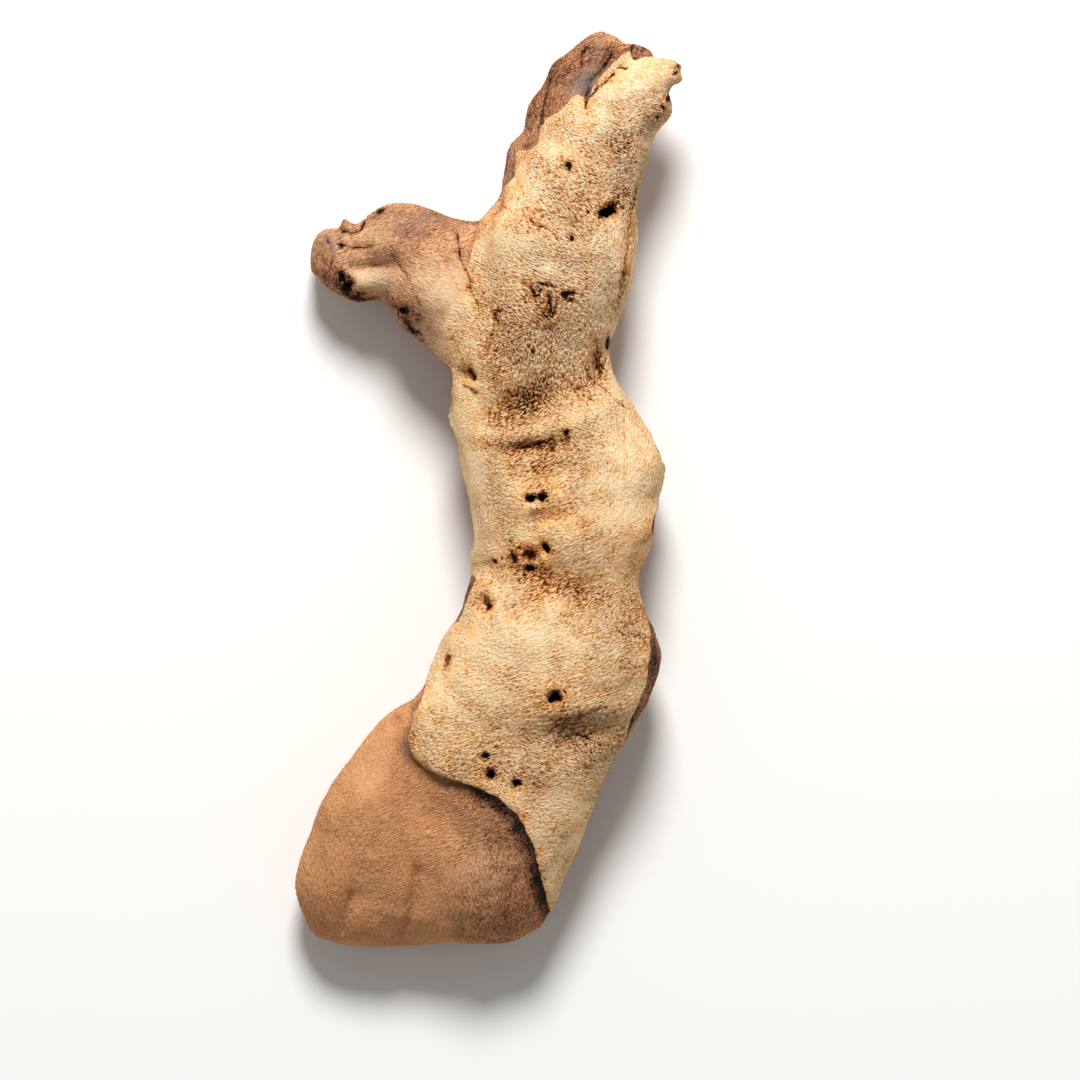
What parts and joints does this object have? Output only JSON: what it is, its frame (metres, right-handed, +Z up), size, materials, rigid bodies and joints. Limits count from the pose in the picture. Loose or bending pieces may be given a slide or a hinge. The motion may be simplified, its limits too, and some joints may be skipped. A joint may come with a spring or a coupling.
{
  "type": "mopani wood",
  "caption": "Weathered piece of mopani wood: pale blasted sapwood over dark heartwood, forked into a broken arm and a short burled branch, lying on its back.",
  "frame": {"origin": "middle of the piece's bounding box in X and Y, on the surface that it lies on", "axes": "+Y along the piece towards the broken arm, +X to the right as the pale front is looked down on, +Z up out of the front"},
  "size_m": [0.1084, 0.257, 0.0517],
  "materials": {
    "wood": "blasted sapwood, matt and finely wrinkled, over smoother reddish brown heartwood"
  },
  "bodies": {
    "root": {"mopani_wood": "wood"}
  },
  "joints": []
}
